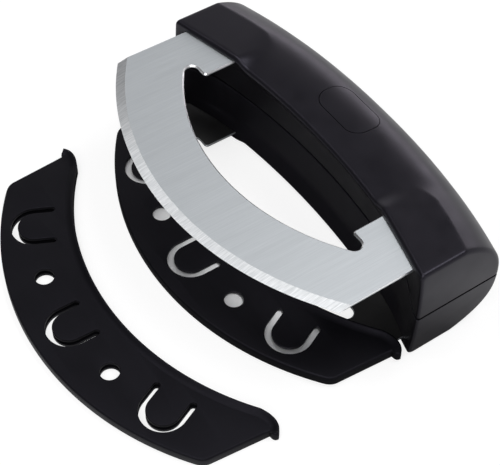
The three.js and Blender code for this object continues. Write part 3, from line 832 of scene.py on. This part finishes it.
def brushed(name, axis):
    """A metal whose shine is drawn out round an axis: round Y along a flat face, round Z along an edge."""
    made, tree, shader = material(name)
    across = tree.nodes.new("ShaderNodeTangent")
    across.direction_type = "RADIAL"
    across.axis = axis
    tree.links.new(across.outputs["Tangent"], shader.inputs["Tangent"])
    shader.inputs["Anisotropic"].default_value = BRUSHED_SPREAD
    shader.inputs["Metallic"].default_value = 1
    return made, tree, shader


def steel(name, axis, dark, pale, rough, lines, length, depth):
    """Steel brushed with so many lines to the metre, each so many times as long as it is wide."""
    made, tree, shader = brushed(name, axis)
    strokes = noise(tree, (lines, lines / length, lines / length), detail=3)
    colour = ramp(tree, strokes, dark, pale, stops=(0.3, 0.7))
    tree.links.new(colour.outputs["Color"], shader.inputs["Base Color"])
    coarse = lines * PATCH_SHARE
    patches = noise(tree, (coarse, coarse / length, coarse), detail=4)
    gloss = ramp(tree, patches, grey(rough[0]), grey(rough[1]), stops=(0.3, 0.7))
    tree.links.new(gloss.outputs["Color"], shader.inputs["Roughness"])
    fine = bump(tree, strokes, depth, STROKE_DEPTH)
    tree.links.new(fine.outputs["Normal"], shader.inputs["Normal"])
    return made


def inner_steel_painted_light_and_shade(name, bright, dark, rough, lines, length):
    """Brushed steel of the blades' inner faces, with painted light towards the edge and painted shade at the
    tangs.
    """
    made, tree, shader = brushed(name, "Y")
    fade = ((PAINTED_SHADE_START - PAINTED_LIGHT_END) / METRE, 1, 1)
    rising = gradient(tree, "LINEAR", framed((0, PAINTED_LIGHT_END, 0)), turn=90, size=fade)
    colour = ramp(tree, rising, bright, dark, stops=(0, 1))
    tree.links.new(colour.outputs["Color"], shader.inputs["Base Color"])
    strokes = noise(tree, (lines, lines / length, lines / length), detail=3)
    gloss = ramp(tree, strokes, grey(rough[0]), grey(rough[1]), stops=(0.3, 0.7))
    tree.links.new(gloss.outputs["Color"], shader.inputs["Roughness"])
    return made


handle_plastic = plastic(
    "handle_plastic",
    dark=(0.0048, 0.0045, 0.0057),
    pale=(0.0068, 0.0064, 0.008),
    rough=(0.33, 0.41),
    grain=0.08,
    shine=0.37,
)
guard_plastic = plastic(
    "guard_plastic",
    dark=(0.0034, 0.0034, 0.0042),
    pale=(0.005, 0.005, 0.006),
    rough=(0.46, 0.56),
    grain=0.1,
    shine=0.15,
)
sleeve_plastic = plastic(
    "sleeve_plastic",
    dark=(0.55, 0.53, 0.47),
    pale=(0.64, 0.62, 0.56),
    rough=(0.45, 0.55),
    grain=0.08,
    shine=0.4,
)
blade_steel = steel(
    "blade_steel",
    axis="Y",
    dark=(0.54, 0.57, 0.59),
    pale=(0.6, 0.63, 0.65),
    rough=(0.46, 0.52),
    lines=3000,
    length=60,
    depth=0.03,
)
# The bevel's hatch stands for its grinding; its colour, paler than the face's, is painted light for the
# bevel's brighter reflection.
bevel_steel_painted_light = steel(
    "bevel_steel_painted_light",
    axis="Z",
    dark=(0.57, 0.59, 0.6),
    pale=(0.78, 0.79, 0.8),
    rough=(0.54, 0.6),
    lines=2500,
    length=16,
    depth=0.08,
)
# Painted highlight: the broken edges' steel is near white, for the bright rims that run along the blades'
# edges.
edge_steel_painted_highlight = steel(
    "edge_steel_painted_highlight",
    axis="Z",
    dark=(0.9, 0.91, 0.92),
    pale=(0.97, 0.97, 0.98),
    rough=(0.28, 0.36),
    lines=1700,
    length=12,
    depth=0.05,
)
screw_steel = steel(
    "screw_steel",
    axis="Z",
    dark=(0.42, 0.42, 0.4),
    pale=(0.55, 0.55, 0.53),
    rough=(0.3, 0.42),
    lines=3000,
    length=3,
    depth=0.1,
)
# Painted light and shade in the inner faces' colour: near white towards the edge, where the guard's slots
# show it, and near black at the tangs, where the handle shades them.
face_steel_painted_light_and_shade = inner_steel_painted_light_and_shade(
    "face_steel_painted_light_and_shade",
    bright=(0.95, 0.955, 0.96),
    dark=(0.1, 0.1, 0.1),
    rough=(0.46, 0.52),
    lines=2200,
    length=55,
)

# Pieces

front = handle_half("handle_front", True)
field = field_column("handle_field", -FIT_GAP / 2)
carve(field, handle_half("field_skin", True), "INTERSECT")
carve(front, field_column("field_cut", FIT_GAP / 2), "DIFFERENCE")
back = handle_half("handle_back", False)
for side in (-1, 1):
    carve(front, tang_slot(side, True), "DIFFERENCE")
    carve(back, tang_slot(side, False), "DIFFERENCE")
    carve(back, screw_recess(side * FOOT_MIDDLE, FOOT_BOSS_HEIGHT), "DIFFERENCE")
    carve(back, screw_recess(side * GRIP_BOSS_SPACING / 2, GRIP_BOSS_HEIGHT), "DIFFERENCE")
for piece, node in ((front, "front_shell"), (back, "back_shell"), (field, "field_inlay")):
    finish_piece(piece, "handle", node, [handle_plastic], HANDLE_SHARP)

steels = [blade_steel, bevel_steel_painted_light, face_steel_painted_light_and_shade, edge_steel_painted_highlight]
for name, node, up in (("blade_front", "front_blade", True), ("blade_back", "back_blade", False)):
    finish_piece(blade(name, up), "handle", node, steels, BLADE_SHARP)

fitted_place = (FIT_GAP - GUARD_PLAY, 0, blade_middle(False) - GUARD_THICKNESS / 2)
fitted = guard("guard_fitted", 0, fitted_place)
finish_piece(fitted, "fitted_guard", "fitted_guard", [guard_plastic], GUARD_SHARP)
loose = guard("guard_loose", -math.radians(LOOSE_TURN), (LOOSE_OFFSET_X, -LOOSE_OFFSET_Y, 0))
finish_piece(loose, "loose_guard", "loose_guard", [guard_plastic], GUARD_SHARP)

# The screws and sleeves stay as the source makes them, with finer materials.
for node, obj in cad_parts.items():
    for word, coat in (("screw", screw_steel), ("sleeve", sleeve_plastic)):
        if word in node:
            obj.data.materials.clear()
            obj.data.materials.append(coat)

# Studio: a white paper floor that curves up into a low wall all round, in millimetres. Seen directly or in a
# reflection the paper also glows a little, so that it reads as white.
FLOOR_RADIUS = 1600
FLOOR_MIDDLE = 0.01
COVE_RADIUS = 350
WALL_HEIGHT = 1200
FLOOR_DROP = 0.1
PAPER_SIDES = 96
PAPER_COLOUR = (0.27, 0.27, 0.27, 1)
PAPER_GLOW = (0.79, 0.79, 0.79, 1)

# In reflections the paper is dark inside the finger gap, where the tool shades it, and far in front. The
# oval that is shaded, and the start and length of the rise from dark to full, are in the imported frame's
# metres.
SHADE_CENTRE = (0, 0.02, 0)
SHADE_SIZE = (0.135, 0.1, 1)
SHADE_EDGE = 0.25
MIRRORED_GLOW = 0.8
NEAR_START = (0, -0.45, 0)
NEAR_LENGTH = (0.25, 1, 1)


def sweep():
    """The paper as a turned profile, in points and faces."""
    profile = [(FLOOR_MIDDLE, 0), (FLOOR_RADIUS / 2, 0)]
    profile += arc(FLOOR_RADIUS, COVE_RADIUS, COVE_RADIUS, -90, 0, steps=12)
    profile.append((FLOOR_RADIUS + COVE_RADIUS, WALL_HEIGHT))
    points = []
    faces = []
    for radius, height in profile:
        circle = arc(0, 0, radius, 0, 360, PAPER_SIDES)[:-1]
        points.extend((x, y, height - FLOOR_DROP) for x, y in circle)
    bridge(faces, 0, len(profile), PAPER_SIDES)
    faces.append(tuple(range(PAPER_SIDES)))
    return points, faces


def math_node(tree, operation, first, second):
    node = tree.nodes.new("ShaderNodeMath")
    node.operation = operation
    tree.links.new(first, node.inputs[0])
    tree.links.new(second, node.inputs[1])
    return node.outputs[0]


def paper():
    """White paper that keeps shadows, and glows where the camera or a reflection sees it."""
    made = bpy.data.materials.new("paper")
    made.use_nodes = True
    tree = made.node_tree
    tree.nodes.clear()
    output = tree.nodes.new("ShaderNodeOutputMaterial")
    both = tree.nodes.new("ShaderNodeAddShader")
    matte = tree.nodes.new("ShaderNodeBsdfDiffuse")
    matte.inputs["Color"].default_value = PAPER_COLOUR
    glow = tree.nodes.new("ShaderNodeEmission")
    glow.inputs["Color"].default_value = PAPER_GLOW
    tree.links.new(matte.outputs[0], both.inputs[0])
    tree.links.new(glow.outputs[0], both.inputs[1])
    tree.links.new(both.outputs[0], output.inputs["Surface"])
    shade = gradient(tree, "SPHERICAL", SHADE_CENTRE, turn=0, size=SHADE_SIZE)
    open_paper = ramp(tree, shade, grey(MIRRORED_GLOW), grey(0), stops=(0, SHADE_EDGE))
    nearness = gradient(tree, "LINEAR", NEAR_START, turn=90, size=NEAR_LENGTH)
    path = tree.nodes.new("ShaderNodeLightPath")
    lit_paper = math_node(tree, "MULTIPLY", open_paper.outputs["Color"], nearness.outputs["Fac"])
    mirrored = math_node(tree, "MULTIPLY", path.outputs["Is Glossy Ray"], lit_paper)
    seen = math_node(tree, "MAXIMUM", path.outputs["Is Camera Ray"], mirrored)
    shown = math_node(tree, "MAXIMUM", seen, path.outputs["Is Transmission Ray"])
    tree.links.new(shown, glow.inputs["Strength"])
    return made


floor = mesh_object("floor", *sweep())
floor.data.shade_smooth()
floor.data.materials.append(paper())

# Light, in metres and watts
WORLD_COLOUR = (0.09, 0.087, 0.096, 1)
world = bpy.data.worlds.new("studio")
world.use_nodes = True
world.node_tree.nodes["Background"].inputs["Color"].default_value = WORLD_COLOUR
bpy.context.scene.world = world
bpy.context.scene.view_settings.view_transform = "Standard"


def softbox(name, place, target, size, watts, colour=(1, 1, 1)):
    """A rectangular lamp that faces a target."""
    lamp = bpy.data.lights.new(name, "AREA")
    lamp.shape = "RECTANGLE"
    lamp.size, lamp.size_y = size
    lamp.energy = watts
    lamp.color = colour
    obj = bpy.data.objects.new(name, lamp)
    obj.location = place
    obj.rotation_euler = (Vector(target) - Vector(place)).to_track_quat("-Z", "Y").to_euler()
    bpy.context.scene.collection.objects.link(obj)


softbox("front", place=(0.6, -0.65, 1.0), target=(0, 0, 0.02), size=(0.9, 0.9), watts=9)
softbox("overhead", place=(-0.25, -0.25, 1.15), target=(0, 0, 0.02), size=(0.4, 0.4), watts=3)
softbox("right", place=(0.2, 0.45, 1.1), target=(0, 0, 0.03), size=(0.6, 0.4), watts=5)
softbox("back", place=(-0.6, 1.0, 0.35), target=(0, 0, 0.03), size=(0.9, 0.3), watts=2, colour=(1, 0.92, 1))
softbox("left", place=(-0.8, 0.4, 0.65), target=(0, 0, 0.03), size=(0.6, 0.4), watts=0.25)

# Camera, from the fit of the photograph: turned from the front, raised, and tilted a little
CAMERA_AIM = (15.32, -46.93, PAD_HALF)
CAMERA_TURN = 54.75
CAMERA_RISE = 50.59
CAMERA_ROLL = 1.09
CAMERA_DISTANCE = 541.9
CAMERA_SENSOR = 36
CAMERA_LENS = 94.28
camera_data = bpy.data.cameras.new("camera")
camera_data.sensor_width = CAMERA_SENSOR
camera_data.lens = CAMERA_LENS
camera = bpy.data.objects.new("camera", camera_data)
toward = Euler((math.radians(90 - CAMERA_RISE), 0, math.radians(CAMERA_TURN))).to_matrix()
camera.location = Vector(framed(CAMERA_AIM)) + toward @ Vector((0, 0, CAMERA_DISTANCE / METRE))
camera.rotation_euler = (toward @ Matrix.Rotation(math.radians(CAMERA_ROLL), 3, "Z")).to_euler()
bpy.context.scene.collection.objects.link(camera)
bpy.context.scene.camera = camera
